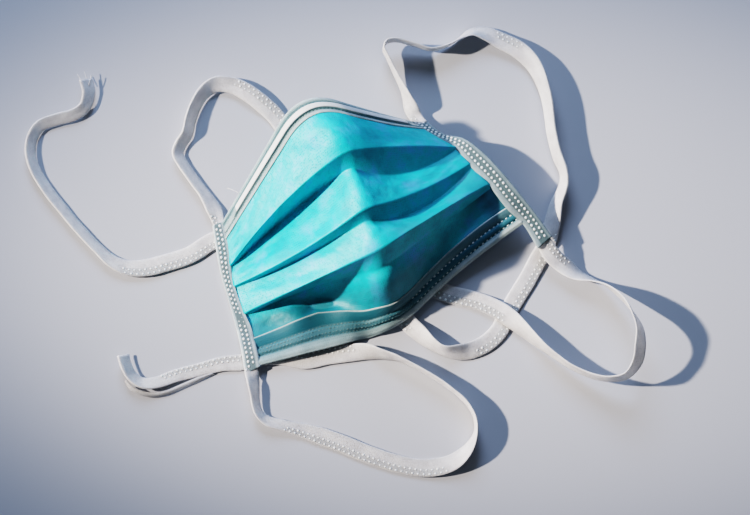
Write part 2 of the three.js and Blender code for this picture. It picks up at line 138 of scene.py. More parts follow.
def lengthsAlong(line):  # the length from the start to each point
    return np.concatenate([[0], np.cumsum(np.linalg.norm(np.diff(line, axis=0), axis=1))])


def tapeAxes(line):  # along a line, level across it, and upright to both
    ahead = unit(np.gradient(line, axis=0))
    level = unit(np.stack([-ahead[:, 1], ahead[:, 0], np.zeros(len(ahead))], axis=1))
    return ahead, level, np.cross(ahead, level)


def evenlyAt(reach, lengths, values):  # rows of three numbers read off at given lengths
    return np.stack([np.interp(reach, lengths, values[:, axis]) for axis in range(3)], axis=1)


def dress(piece, cloth, node=None):  # the material, the body and the node it stands for
    piece.data.materials.append(cloth)
    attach(piece, "root")
    if node:
        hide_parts(node)
    return piece


def clothMap(grid):  # metres along the mask and across it, for weave and bond points
    along = np.linalg.norm(np.diff(grid, axis=1), axis=2).mean(axis=0)
    across = np.linalg.norm(np.diff(grid, axis=0), axis=2).mean(axis=1)
    u, v = (np.concatenate([[0], np.cumsum(steps)]) for steps in (along, across))
    return np.stack(np.meshgrid(u, v), axis=-1)


lookFrom = {
    "target": (-0.003725, -0.007335, 0.0),
    "distance": 1.4,
    "elevation": 80.0,
    "pictureWidth": 0.41025,  # at the target
    "sensor": 36.0,
    "clip": (0.05, 20),
}


def placeCamera(view):
    lens = bpy.data.cameras.new("camera")
    lens.sensor_width = view["sensor"]
    lens.lens = view["sensor"] * view["distance"] / view["pictureWidth"]
    lens.clip_start, lens.clip_end = view["clip"]
    eye = addObject("camera", lens)
    lift = math.radians(view["elevation"])
    away = Vector((0, -math.cos(lift), math.sin(lift))) * view["distance"]
    eye.location = Vector(view["target"]) + away
    eye.rotation_euler = (math.pi / 2 - lift, 0, 0)
    bpy.context.scene.camera = eye


placeCamera(lookFrom)


def newMaterial(name):
    material = bpy.data.materials.new(name)
    material.use_nodes = True
    tree = material.node_tree
    shader = tree.nodes["Principled BSDF"]
    return material, tree, shader


def setSockets(tree, node, values):  # links a socket to the input of that name, and sets a number or a colour
    for key, value in values.items():
        if isinstance(value, bpy.types.NodeSocket):
            tree.links.new(value, node.inputs[key])
        else:
            node.inputs[key].default_value = value


def addNode(tree, kind, values=None, **settings):
    node = tree.nodes.new(kind)
    for key, value in settings.items():
        setattr(node, key, value)
    setSockets(tree, node, values or {})
    return node


def nodeGroup(name, kind, inputs, outputs):  # a group with its inputs, each a name, a kind and perhaps a value
    group = bpy.data.node_groups.new(name, kind)
    for way, rows in (("INPUT", inputs), ("OUTPUT", outputs)):
        for label, form, *value in rows:
            socket = group.interface.new_socket(name=label, in_out=way, socket_type="NodeSocket" + form)
            if value:
                socket.default_value = value[0]
    return group, group.nodes.new("NodeGroupInput").outputs, group.nodes.new("NodeGroupOutput")


def colourRamp(tree, factor, spread, dark, light, middle=None):  # two or three shades
    node = addNode(tree, "ShaderNodeValToRGB", {"Fac": factor})
    stops = node.color_ramp.elements
    for stop, place, colour in zip(stops, spread, (dark, light)):
        stop.position, stop.color = place, (*colour, 1)
    if middle:
        stops.new(0.5).color = (*middle, 1)
    return node.outputs["Color"]


def fibreGroup():  # the fine hatching and mottling of spun nonwoven, from a map in metres
    group, start, end = nodeGroup("spunFibres", "ShaderNodeTree", (
        ("Map", "Vector"), ("Bond Pitch", "Float", 0.0014), ("Mottle Size", "Float", 0.006),
        ("Strength", "Float", 1.0)), (("Mottle", "Float"), ("Bond", "Float"), ("Height", "Float")))

    def scaled(key, numerator=1.0):
        return addNode(group, "ShaderNodeMath", {0: numerator, 1: start[key]}, operation="DIVIDE").outputs[0]
    mottle = addNode(group, "ShaderNodeTexNoise", {
        "Vector": start["Map"], "Scale": scaled("Mottle Size"), "Detail": 5, "Roughness": 0.62})
    stretch = addNode(group, "ShaderNodeMapping", {"Vector": start["Map"], "Scale": (1.0, 0.22, 1.0)})
    fibre = addNode(group, "ShaderNodeTexNoise", {
        "Vector": stretch.outputs["Vector"], "Scale": scaled("Bond Pitch", 2.4), "Detail": 3, "Roughness": 0.7})
    bond = addNode(group, "ShaderNodeTexVoronoi", {
        "Vector": start["Map"], "Scale": scaled("Bond Pitch"), "Randomness": 0.35})
    dimple = addNode(group, "ShaderNodeMapRange", {
        "Value": bond.outputs["Distance"], "From Min": 0.12, "From Max": 0.34}).outputs["Result"]
    height = addNode(group, "ShaderNodeMath", {0: fibre.outputs["Fac"], 1: 0.55, 2: dimple}, operation="MULTIPLY_ADD")
    power = addNode(group, "ShaderNodeMath", {0: height.outputs[0], 1: start["Strength"]}, operation="MULTIPLY")
    setSockets(group, end, {"Mottle": mottle.outputs["Fac"], "Bond": dimple, "Height": power.outputs[0]})
    return group


fibres = fibreGroup()
clothBase = {
    "spread": (0.35, 0.68), "bondPitch": 0.0009, "bondTone": 0.25, "bump": 0.35,
    "roughness": 0.55, "gloss": 0.60, "index": 1.5, "glowReach": (1.0, 1.0, 1.0),
}


def nonwoven(name, own):  # one nonwoven cloth: two shades mottled into each other, bond points and fibre bump
    look = {**clothBase, **own}
    material, tree, shader = newMaterial(name)
    uv = addNode(tree, "ShaderNodeUVMap", uv_map="clothMap")
    weave = addNode(tree, "ShaderNodeGroup", {
        "Bond Pitch": look["bondPitch"], "Mottle Size": look["mottle"], "Map": uv.outputs["UV"]},
        node_tree=fibres).outputs
    blend = colourRamp(tree, weave["Mottle"], look["spread"], look["dark"], look["light"], look.get("middle"))
    bonded = addNode(tree, "ShaderNodeMix", {0: look["bondTone"], 6: blend, 7: weave["Bond"]},
                     data_type="RGBA", blend_type="MULTIPLY")
    # mixes in a dark colour by a point attribute: cloth seen through layers, and painted shade on the panel, hems,
    # bindings and tape backs
    layersAndShadeFactor = addNode(tree, "ShaderNodeAttribute", attribute_name="layersAndPaintedShade", attribute_type="GEOMETRY")
    layersAndShadeColour = addNode(tree, "ShaderNodeMix", {
        0: layersAndShadeFactor.outputs["Fac"], 6: bonded.outputs[2], 7: (*look["layersAndShadeColour"], 1)}, data_type="RGBA")
    bump = addNode(tree, "ShaderNodeBump", {"Strength": look["bump"], "Distance": 0.0003, "Height": weave["Height"]})
    setSockets(tree, shader, {
        "Base Color": layersAndShadeColour.outputs[2], "Normal": bump.outputs["Normal"], "Roughness": look["roughness"],
        "Specular IOR Level": look["gloss"], "IOR": look["index"], "Subsurface Weight": look["glow"],
        "Subsurface Radius": look["glowReach"], "Subsurface Scale": 0.003})
    return material


panelCloth = nonwoven("tealNonwoven", {
    "dark": (0.000, 0.44, 0.56), "middle": (0.003, 0.62, 0.72), "light": (0.115, 0.56, 0.95),
    "layersAndShadeColour": (0.004, 0.13, 0.18), "spread": (0.30, 0.70), "bondPitch": 0.0011, "mottle": 0.015, "bump": 0.40,
    "roughness": 0.56, "gloss": 0.85, "index": 1.58, "glow": 0.35, "glowReach": (0.1, 1.0, 1.0)})
hemCloth = nonwoven("whiteNonwoven", {
    "dark": (0.44, 0.50, 0.50), "light": (0.58, 0.64, 0.64), "layersAndShadeColour": (0.02, 0.16, 0.21),
    "bondPitch": 0.0011, "mottle": 0.010, "bump": 0.40, "glow": 0.35, "glowReach": (0.8, 1.0, 1.0)})
tapeCloth = nonwoven("whiteTape", {
    "dark": (0.62, 0.605, 0.615), "light": (0.78, 0.765, 0.765), "layersAndShadeColour": (0.40, 0.41, 0.41),
    "mottle": 0.008, "bondTone": 0.20, "roughness": 0.60, "gloss": 0.45, "glow": 0.60})
bindingCloth = nonwoven("bindingTape", {
    "dark": (0.46, 0.54, 0.57), "light": (0.62, 0.70, 0.73), "layersAndShadeColour": (0.10, 0.155, 0.165),
    "mottle": 0.006, "gloss": 0.55, "glow": 0.20})
wireCloth = nonwoven("wireCover", {
    "dark": (0.80, 0.83, 0.84), "light": (0.90, 0.92, 0.92), "layersAndShadeColour": (0.8, 0.8, 0.8),
    "mottle": 0.010, "bondTone": 0.15, "bump": 0.25, "roughness": 0.45, "glow": 0.10})


def weldFilm(name, dark, light, roughness):  # nonwoven melted to a smooth film
    material, tree, shader = newMaterial(name)
    spot = addNode(tree, "ShaderNodeTexCoord")
    cloud = addNode(tree, "ShaderNodeTexNoise", {
        "Vector": spot.outputs["Object"], "Scale": 420.0, "Detail": 3.0}).outputs["Fac"]
    shade = colourRamp(tree, cloud, (0.3, 0.7), dark, light)
    ripple = addNode(tree, "ShaderNodeBump", {"Strength": 0.3, "Distance": 0.0002, "Height": cloud})
    setSockets(tree, shader, {"Base Color": shade, "Normal": ripple.outputs["Normal"], "Roughness": roughness})
    return material


hemFilm = weldFilm("hemWeldFilm", (0.62, 0.70, 0.71), (0.86, 0.90, 0.90), 0.35)
tapeFilm = weldFilm("tapeWeldFilm", (0.74, 0.76, 0.76), (0.90, 0.91, 0.91), 0.38)
seeThrough = weldFilm("hemSeeThrough", (0.06, 0.15, 0.17), (0.20, 0.30, 0.31), 0.4)
print("materials ready")


def weldTree():  # one dot on each point, flat on its face and along its row; for hems, bindings and tapes
    tree, start, end = nodeGroup("weldDots", "GeometryNodeTree", (
        ("Geometry", "Geometry"), ("Length", "Float", 0.0014), ("Width", "Float", 0.0010),
        ("Height", "Float", 0.0004), ("Jitter", "Float", 0.15), ("Seed", "Int", 1), ("Finish", "Material"),
    ), (("Geometry", "Geometry"),))
    dot = addNode(tree, "GeometryNodeMeshUVSphere", {"Segments": 7, "Rings": 4, "Radius": 0.5})
    size = addNode(tree, "ShaderNodeCombineXYZ", {"X": start["Length"], "Y": start["Width"], "Z": start["Height"]})
    shaped = addNode(tree, "GeometryNodeTransform", {"Geometry": dot.outputs["Mesh"], "Scale": size.outputs[0]})
    facing, running = (addNode(tree, "GeometryNodeInputNamedAttribute", {"Name": key}, data_type="FLOAT_VECTOR")
                       for key in ("facing", "running"))
    up = addNode(tree, "FunctionNodeAlignRotationToVector", {"Vector": facing.outputs["Attribute"]}, axis="Z")
    along = addNode(tree, "FunctionNodeAlignRotationToVector", {
        "Rotation": up.outputs["Rotation"], "Vector": running.outputs["Attribute"]}, axis="X", pivot_axis="Z")
    least, most = (addNode(tree, "ShaderNodeMath", {0: 1.0, 1: start["Jitter"]}, operation=sign).outputs[0]
                   for sign in ("SUBTRACT", "ADD"))
    chance = addNode(tree, "FunctionNodeRandomValue", {2: least, 3: most, "Seed": start["Seed"]})
    place = addNode(tree, "GeometryNodeInstanceOnPoints", {
        "Points": start["Geometry"], "Instance": shaped.outputs["Geometry"], "Rotation": along.outputs["Rotation"],
        "Scale": chance.outputs[1]})
    real = addNode(tree, "GeometryNodeRealizeInstances", {"Geometry": place.outputs["Instances"]})
    finish = addNode(tree, "GeometryNodeSetMaterial", {
        "Geometry": real.outputs["Geometry"], "Material": start["Finish"]})
    setSockets(tree, end, {"Geometry": finish.outputs["Geometry"]})
    return tree


weldDots = weldTree()


def makeWelds(name, places, facing, running, look):  # places the dots and makes them one plain mesh
    seeds = bpy.data.meshes.new(name + ".points")
    seeds.from_pydata([tuple(p) for p in places], [], [])
    for key, vectors in (("facing", facing), ("running", running)):
        attribute = seeds.attributes.new(key, "FLOAT_VECTOR", "POINT")
        attribute.data.foreach_set("vector", np.asarray(vectors, float).ravel())
    holder = addObject(name + ".points", seeds)
    modifier = holder.modifiers.new("welds", "NODES")
    modifier.node_group = weldDots
    sockets = {item.name: item.identifier for item in weldDots.interface.items_tree if item.in_out == "INPUT"}
    for key in ("Length", "Width", "Height", "Jitter", "Seed", "Finish"):
        modifier[sockets[key]] = look[key]
    graph = bpy.context.evaluated_depsgraph_get()
    mesh = bpy.data.meshes.new_from_object(holder.evaluated_get(graph))
    holder.modifiers.remove(modifier)
    bpy.data.objects.remove(holder)
    mesh.name = name
    mesh.polygons.foreach_set("use_smooth", [True] * len(mesh.polygons))
    piece = addObject(name, mesh)
    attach(piece, "root")
    return piece


def rowOnGrid(grid, directions, across, pitch, start=0.0, first=0.0, last=1.0):  # places along a line of a grid
    position = np.clip(across, 0, 1) * (len(grid) - 1)
    k = min(int(position), len(grid) - 2)
    w = position - k
    line = grid[k] * (1 - w) + grid[k + 1] * w
    normals = directions[k] * (1 - w) + directions[k + 1] * w
    lengths = lengthsAlong(line)
    reach = np.arange(lengths[-1] * first + start * pitch, lengths[-1] * last, pitch)
    at = evenlyAt(reach, lengths, line)
    return at, unit(evenlyAt(reach, lengths, normals)), unit(np.gradient(at, axis=0))


def weldRows(name, grid, directions, rows, look):  # dots along lines of a grid
    parts = [rowOnGrid(grid, directions, *row) for row in rows]
    at, face, run = (np.concatenate([part[i] for part in parts]) for i in range(3))
    return makeWelds(name, at + face * look["Sink"], face, run, look)


tieTape = {
    "width": 0.0098,
    "leaf": 0.0010,      # two leaves together
    "step": 0.0012,
    "samples": 3000,     # to measure a route by
    "ripple": 0.00022,
    "rippleSize": 0.009,
    "rippleLines": (0.0, 0.02, 0.04),  # where the noise is read for one edge, the middle and the other edge
    "floorGap": 0.0001,
    "neck": (0.003, 0.014),  # where the tape widens from its hidden start
    "uneven": (0.035, 0.012),  # share of the width, and size
    "firstSeed": 11,
    "curled": {  # share of the length and share of the width that is seen where the tape curls in
        "tie_top_left": ((0.03, 0.06, 0.12, 0.15, 0.22, 0.27, 0.64, 0.70, 0.96, 1.0),
                         (1.00, 0.72, 0.72, 0.90, 0.90, 1.00, 1.00, 0.72, 0.74, 0.90)),
        "tie_bottom_left": ((0.03, 0.05, 0.12, 0.17, 0.78, 0.86, 0.93, 0.97),
                            (0.90, 0.66, 0.66, 1.00, 1.00, 0.74, 0.72, 0.76)),
        "tie_bottom_right": ((0.14, 0.20, 0.28, 0.34), (1.00, 1.18, 1.18, 1.00)),
    },
    "backFrom": 9,       # the first point of the section on the tape's back
    # painted shade on the tape's back face
    "backShade": 0.25,
    "startWidths": {"tie_top_left": 0.0056, "tie_bottom_left": 0.0078, "tie_top_right": 0.0056,
                    "tie_bottom_right": 0.0082},
}
layShift = np.array([-0.0015655, 0.0003758, 0.0])
tieRoutes = {  # x, y and z of the tape's middle in mm before the shift, and its roll in degrees
    "tie_top_left": [
        (-87.5, 5.6, 3.2, 0), (-88, 11.5, 3, 5), (-90, 18, 3, 22), (-94.5, 25.5, 2.8, 33), (-102, 35.8, 2.8, 34),
        (-108, 44.5, 2.8, 32), (-110.6, 50, 3, 32), (-109, 55, 3.5, 42), (-105.6, 60.5, 4.2, 50),
        (-103.6, 69, 4.3, 52), (-100.6, 77.5, 4.3, 50), (-96, 84.5, 4.2, 42), (-89.5, 88.8, 3.6, 25),
        (-80.5, 88, 3.2, 15), (-72.5, 84, 3.2, 12), (-64.5, 78, 2.6, 10), (-57, 71, 1.4, 4), (-50, 59, 0.8, 0),
        (-48, 44.5, 0.8, 0), (-52.5, 28.5, 0.8, 0), (-63, 15.5, 0.8, 0), (-76, 6.5, 0.8, 0), (-90.5, 1.5, 0.8, 0),
        (-103.5, -6.5, 1, 2), (-117, -11, 1.2, 5), (-127, -13.5, 1.4, 8), (-137.5, -13.6, 1.6, 12),
        (-146, -9.8, 2.2, 24), (-153, -3.6, 2.4, 32), (-162.8, 6.6, 2.4, 34), (-172.4, 17.8, 2.4, 34),
        (-181.8, 29.6, 2.5, 35), (-189.2, 41.8, 2.8, 39), (-191.6, 50.5, 3, 40), (-190.6, 59, 3, 38),
        (-186.4, 65.4, 3, 34), (-178, 68.8, 3, 32), (-168.4, 71.4, 3.4, 32), (-162.4, 75.6, 3.8, 34),
        (-160, 83.6, 4.2, 34), (-161.6, 91.4, 4.8, 34),
    ],
    "tie_bottom_left": [
        (-69.6, -66.2, 3.2, 0), (-69, -71.8, 3.8, -18), (-68.2, -76, 4.2, -38), (-67.4, -82, 4, -46),
        (-66.6, -88.5, 3.6, -46), (-64.6, -94, 3.2, -42), (-60, -98, 2.6, -30), (-52.5, -100, 2.2, -16),
        (-40.5, -103, 1, -3), (-22.5, -109, 0.8, 0), (-5, -116, 0.8, 0), (13, -121.5, 0.8, 0), (27.5, -123, 1, -6),
        (40, -120, 2.2, -22), (48, -113, 4.2, -55), (52, -104.5, 5.4, -80), (51.5, -96, 5.6, -86),
        (47, -88, 5.6, -86), (37.5, -79.5, 5.6, -86), (25, -71.5, 5.6, -86), (11.5, -64.5, 5.4, -82),
        (1, -61.5, 4.8, -62), (-7, -60, 3.2, -32), (-15.5, -60.5, 1.5, -10), (-27.5, -62, 0.8, 0),
        (-40.5, -64.5, 0.8, 0), (-51, -62.5, 0.8, 0), (-63.5, -62.5, 0.8, 0), (-74, -65.5, 0.8, 0),
        (-85, -66.5, 0.8, 0), (-97, -69.5, 0.8, 0), (-110, -73, 1.4, 6), (-121, -77, 2.8, 20), (-128.5, -77, 3.4, 32),
        (-134, -73, 3.8, 36), (-137, -67.5, 4, 36), (-138.5, -62, 4, 34),
    ],
    "tie_top_right": [
        (24.6, 65.7, 4.3, 0), (20, 71, 3.2, -12), (17, 77, 5.4, -50), (14, 84.4, 6.8, -74), (9, 94, 8.8, -84),
        (4.5, 103, 10.8, -88), (2.6, 107.4, 11.4, -88), (4.2, 111, 11.6, -88), (9.5, 112.2, 11, -88),
        (19, 110.2, 9.4, -88), (29, 107.8, 7.6, -86), (37.5, 110.1, 6.2, -82), (45, 114.4, 5.6, -74),
        (52, 118, 5, -52), (60, 117, 4.2, -26), (68.5, 113, 3.6, -4), (77.5, 108, 4, 14), (85, 100, 5, 36),
        (90, 89, 6, 54), (93, 76, 6.4, 62), (94.5, 62, 6.4, 64), (97.5, 48.5, 6.2, 66), (101, 39, 6.2, 70),
        (101, 32, 5.8, 64), (97, 21.5, 5, 48), (94.5, 10, 3, 24), (91.5, -1, 0.8, 0), (86.5, -10, 0.8, 0),
        (80.5, -21, 0.8, 0), (74, -31.5, 0.8, 0), (69.5, -39.5, 0.8, 0), (65.5, -48, 0.8, 0), (58.5, -55, 1, -4),
        (50.5, -59, 2, -18), (42.5, -60.4, 3.4, -42), (35, -59.6, 4.4, -64), (28.6, -55.8, 4.2, -58),
        (22, -49.8, 2.8, -28), (14.5, -42.4, 1, -6), (7.5, -31.5, 0.8, 0), (5.5, -20.5, 0.8, 0),
    ],
    "tie_bottom_right": [
        (87, 4.5, 10.7, 5), (90, -1.5, 9.4, 5), (94.5, -8, 7.6, 4), (100.5, -13.2, 5.8, -10), (107.5, -18, 5, -42),
        (115.5, -21, 6, -70), (123.5, -25, 9, -84), (130.5, -31.2, 13, -88), (136, -39.5, 17.5, -80),
        (140, -50, 19.5, -62), (140, -59, 19.5, -50), (138.5, -67.5, 17.5, -54), (133, -74.5, 15, -72),
        (124.5, -76, 12, -80), (115, -74, 9, -84), (103.5, -68.5, 7, -84), (93, -61, 6.2, -78), (83.5, -53, 5.6, -62),
        (75.5, -45.5, 4.6, -36), (68.5, -39.5, 3.2, -12), (60, -34.5, 1.8, -2), (50.5, -31, 0.9, 0),
        (41.5, -29, 0.8, 0), (32, -26, 0.8, 0), (23, -21, 0.8, 0), (15.5, -13.5, 0.8, 0),
    ],
}
tieSection = [  # across, as a share of the width; up, as a share of the two leaves; round the open edge
    (0.50, 0.12), (0.50, 0.40), (0.44, 0.50), (0.24, 0.50), (0.06, 0.48), (0.0, 0.46), (-0.20, 0.50),
    (-0.40, 0.50), (-0.48, 0.32), (-0.50, 0.0), (-0.48, -0.32), (-0.40, -0.50), (-0.20, -0.50), (0.0, -0.46),
    (0.20, -0.50), (0.40, -0.50), (0.50, -0.40), (0.50, -0.12), (0.36, -0.03), (0.36, 0.03),
]


def tieFrame(name, tape):  # places, directions and lengths along one tape
    rows = np.array(tieRoutes[name], float)
    rows[:, :3] /= 1000
    fine = smoothLine(rows)(np.linspace(0, 1, tape["samples"]))
    lengths = lengthsAlong(fine[:, :3])
    count = int(round(lengths[-1] / tape["step"]))
    reach = np.linspace(0, lengths[-1], count + 1)
    middle = evenlyAt(reach, lengths, fine)
    roll = np.radians(np.interp(reach, lengths, fine[:, 3]))[:, None]
    ahead, level, upright = tapeAxes(middle)
    width = level * np.cos(roll) + upright * np.sin(roll)
    depth = np.cross(ahead, width)
    return reach, middle + layShift, width, depth, np.degrees(roll[:, 0])


tieWeld = {
    "Length": 0.0013, "Width": 0.0013, "Height": 0.00030, "Jitter": 0.16, "Seed": 5, "Finish": tapeFilm,
    "pitch": 0.0029, "rows": (0.36, 0.12), "Sink": 0.00004, "flatRoll": (10.0, 20.0), "gapTone": 0.60,
    "sides": {"tie_bottom_left": -1},  # the open edge is on the other side
    "gapReach": (0.04, 0.45),  # the clear strip between the open edge and the middle
    "clearStart": 0.004, "clearEnd": 0.005,
}


def tieWelds(name, reach, points, depth, flat, seed):  # staggered rows of welds on both faces, by the open edge
    section = np.array(tieSection)
    upper, lower = ([i for i, (across, up) in enumerate(tieSection) if up * sign > 0.3 and abs(across) <= 0.45]
                    for sign in (1, -1))  # the flat points of both faces
    at, face, run = [], [], []
    first, last = reach[0] + tieWeld["clearStart"], reach[-1] - tieWeld["clearEnd"]
    for number, row in enumerate(np.array(tieWeld["rows"]) * tieWeld["sides"].get(name, 1)):
        stops = np.arange(first + tieWeld["pitch"] * 0.5 * (number % 2), last, tieWeld["pitch"])
        stops = stops[np.interp(stops, reach, flat) > 0.5]
        for ids, sign in ((upper, 1), (lower, -1)):
            order = sorted(ids, key=lambda i: section[i, 0])
            onRings = np.array([[np.interp(row, section[order, 0], ring[:, axis]) for axis in range(3)]
                                for ring in points[:, order]])
            spots = evenlyAt(stops, reach, onRings)
            normal = unit(evenlyAt(stops, reach, depth)) * sign
            clear = spots[:, 2] > tieWeld["Height"]
            at.append((spots + normal * tieWeld["Sink"])[clear])
            face.append(normal[clear])
            run.append(unit(np.gradient(spots, axis=0))[clear])
    return makeWelds(name.replace("tie_", "welds.").replace("_", "."), np.concatenate(at), np.concatenate(face),
                     np.concatenate(run), {**tieWeld, "Seed": seed})


looseLeaf = {  # the leaf that hangs apart from the lower left tie near its end, in mm before the shift
    "route": [(-89.8, -71.7, 1.2), (-97.7, -75, 1.3), (-106.3, -78.7, 1.4), (-114.9, -82.3, 1.6),
              (-122.1, -83.5, 1.8), (-128.5, -82.6, 2.4), (-133.9, -80, 3.2), (-137.1, -76.1, 4.2)],
    "width": 0.0030, "thickness": 0.0003, "roll": 38.0, "rings": 61,
    "taper": ((0.0, 0.15, 0.85, 1.0), (0.3, 1.0, 1.0, 0.5)), "tone": 0.25,
}


def makeLeaf(look):  # a thin strip, tapered at both ends
    line = smoothLine(np.array(look["route"]) / 1000)(np.linspace(0, 1, look["rings"])) + layShift
    ahead, level, upright = tapeAxes(line)
    turn = math.radians(look["roll"])
    wide = level * math.cos(turn) - upright * math.sin(turn)
    thick = np.cross(ahead, wide)
    taper = np.interp(np.linspace(0, 1, look["rings"]), *look["taper"])[:, None]
    corners = [(-0.5, -0.5), (0.5, -0.5), (0.5, 0.5), (-0.5, 0.5)]
    points = np.stack([line + wide * taper * look["width"] * across + thick * look["thickness"] * up
                       for across, up in corners], axis=1)
    points[..., 2] += np.maximum(0, tieTape["floorGap"] - points[..., 2].min(axis=1))[:, None]
    points = points.reshape(-1, 3)
    leaf = meshObject("leaf.bottom.left", points, tubeFaces(look["rings"], len(corners)), points[:, :2],
                      {"layersAndPaintedShade": np.full(len(points), look["tone"])})
    return dress(leaf, tapeCloth)


def makeTie(name, tape, seed):  # one folded tape on its route, with its welds
    reach, middle, width, depth, roll = tieFrame(name, tape)
    flat = np.interp(np.abs(roll), tieWeld["flatRoll"], (1, 0))
    section = np.array(tieSection)
    rings = len(reach)
    across = np.repeat(section[None, :, 0], rings, axis=0)
    up = np.repeat(section[None, :, 1], rings, axis=0)
    track = np.stack([reach, np.full(rings, seed * 1.0), np.zeros(rings)], axis=1)
    wide = 1 + tape["uneven"][0] * hillNoise(track, tape["uneven"][1], seed)
    wide *= np.interp(reach, tape["neck"], (tape["startWidths"][name] / tape["width"], 1))
    wide *= np.interp(reach / reach[-1], *tape["curled"].get(name, ((0, 1), (1, 1))))
    ripple = np.stack([hillNoise(track + [0, edge, 0], tape["rippleSize"], seed + 3)
                       for edge in tape["rippleLines"]], axis=1)
    ripple = np.stack([np.interp(section[:, 0], (-0.5, 0, 0.5), row) for row in ripple])
    points = (middle[:, None, :] + width[:, None, :] * (across * wide[:, None] * tape["width"])[..., None]
              + depth[:, None, :] * (up * tape["leaf"] + ripple * tape["ripple"])[..., None])
    points[..., 2] += np.maximum(0, tape["floorGap"] - points[..., 2].min(axis=1))[:, None]
    uv = np.stack([np.repeat(reach[:, None], len(section), axis=1), across * tape["width"]], axis=-1)
    # painted shade on the back face of the tape
    back = np.where(np.arange(len(section)) >= tape["backFrom"], tape["backShade"], 0.0)
    gapSide = section[:, 0] * tieWeld["sides"].get(name, 1)
    welded = ((gapSide > tieWeld["gapReach"][0]) & (gapSide < tieWeld["gapReach"][1])
              & (section[:, 1] > 0)) * tieWeld["gapTone"]
    tone = np.maximum(back[None], welded[None] * flat[:, None])
    tie = meshObject(name.replace("_", "."), points.reshape(-1, 3), tubeFaces(rings, len(section)),
                     uv.reshape(-1, 2), {"layersAndPaintedShade": tone})
    welds = tieWelds(name, reach, points, depth, flat, seed)
    dress(tie, tapeCloth, name)
    [welds] + ([makeLeaf(looseLeaf)] if name == "tie_bottom_left" else [])


for number, name in enumerate(tieRoutes):
    makeTie(name, tieTape, tieTape["firstSeed"] + number)


maskLay = {
    "length": 0.175,
    "breadth": 0.095,
    "height": 0.050,
    "turn": 26.0,          # degrees from +X to the mask's length
    "panelWall": 0.0010,
    "hemWall": 0.0012,
    "bindingWall": 0.0020,
    "topHem": 0.010,
    "chinHem": 0.020,
    "chinHemSpread": (0.75, 1.00, 0.72, 0.70, 0.60),
    "columns": 220,
    "crowding": 1.35,      # columns closer together at the ridge
    "chinSag": (-0.21, 0.10, 0.085),  # side, spread and depth of the rest on the floor
    "topCrest": (0.12, 0.25, 0.07),         # side, spread and height
    "chinHill": (-0.84, 0.20, 0.12, 0.04),  # side at the recess, its drift, spread and height
    "chinValley": (-0.40, 0.17, 0.12),      # side, spread and depth
    "hemHill": (-0.66, 0.12, 0.05), "hemValley": (-0.40, 0.17, 0.10),
    "chinCrest": (0.05, 0.20, 0.10),
}
bindingEdges = {  # along, across and up, as shares of length, breadth and height
    "leftInner": [
        (-0.412, 0.503, 0.08), (-0.431, 0.344, 0.074), (-0.46, 0.2, 0.036), (-0.475, 0.038, 0.03),
        (-0.478, -0.12, 0.03), (-0.492, -0.252, 0.076), (-0.505, -0.349, 0.08),
    ],
    "leftOuter": [
        (-0.445, 0.506, 0.08), (-0.465, 0.388, 0.074), (-0.487, 0.237, 0.036), (-0.501, 0.075, 0.03),
        (-0.515, -0.071, 0.03), (-0.533, -0.216, 0.076), (-0.554, -0.351, 0.08),
    ],
    "rightInner": [
        (0.262, 0.565, 0.03), (0.294, 0.43, 0.19), (0.341, 0.292, 0.3), (0.358, 0.16, 0.325), (0.383, 0.014, 0.325),
        (0.403, -0.16, 0.29), (0.428, -0.275, 0.24), (0.437, -0.44, 0.215),
    ],
    "rightOuter": [
        (0.296, 0.574, 0.03), (0.33, 0.4, 0.2), (0.378, 0.307, 0.32), (0.41, 0.182, 0.355), (0.433, 0.044, 0.355),
        (0.452, -0.094, 0.33), (0.473, -0.261, 0.27), (0.489, -0.415, 0.215),
    ],
}
foldLines = [  # shares of the left and right binding, lift, softness, then three places
    (0.0, 0.0, 0.0, 0.26,  # nose edge
     (-0.222, 0.707, 0.50), (-0.031, 0.905, 1.0), (0.134, 0.675, 0.66)),
    (0.272, 0.29, 0.6, 0.08,  # first crease
     (-0.221, 0.393, 0.62), (0.012, 0.466, 1.02), (0.175, 0.39, 0.72)),
    (0.284, 0.305, -0.6, 0.06,  # first recess
     (-0.236, 0.345, 0.24), (0.006, 0.394, 0.84), (0.146, 0.256, 0.56)),
    (0.397, 0.425, 0.6, 0.1,  # second crease
     (-0.247, 0.106, 0.52), (-0.012, 0.134, 0.96), (0.16, 0.116, 0.66)),
    (0.407, 0.445, -0.6, 0.06,  # second recess
     (-0.246, 0.088, 0.36), (-0.022, 0.082, 0.82), (0.147, 0.027, 0.52)),
    (0.57, 0.575, 0.6, 0.12,  # third crease
     (-0.242, -0.074, 0.5), (-0.014, -0.107, 0.86), (0.186, -0.045, 0.66)),
    (0.59, 0.595, -0.6, 0.08,  # third recess
     (-0.255, -0.078, 0.16), (-0.049, -0.196, 0.66), (0.185, -0.095, 0.4)),
    (0.985, 0.86, 0.0, 0.22,  # chin edge
     (-0.289, -0.424, 0.115), (-0.053, -0.505, 0.074), (0.165, -0.369, 0.1)),
]
panelFaces = [  # rows and bulge of the cloth between two fold lines
    (44, -0.012), (24, -0.006), (32, 0.020), (12, -0.006), (30, 0.020), (18, -0.006), (42, -0.030),
]


def layPlaces(rows):  # places from shares of the mask's length, breadth and height
    rows = np.asarray(rows, float)
    turn = math.radians(maskLay["turn"])
    x, y = rows[..., 0] * maskLay["length"], rows[..., 1] * maskLay["breadth"]
    return np.stack([x * math.cos(turn) - y * math.sin(turn), x * math.sin(turn) + y * math.cos(turn),
                     rows[..., 2] * maskLay["height"]], axis=-1) + layShift


edgeLines = {key: smoothLine(layPlaces(rows)) for key, rows in bindingEdges.items()}
even = np.linspace(-1, 1, maskLay["columns"] + 1)
sides = np.sign(even) * np.abs(even) ** maskLay["crowding"]


def hill(side, spread, rise):  # a rise along the fold lines, as a share of the height
    return rise * maskLay["height"] * np.exp(-((sides - side) / spread) ** 2)


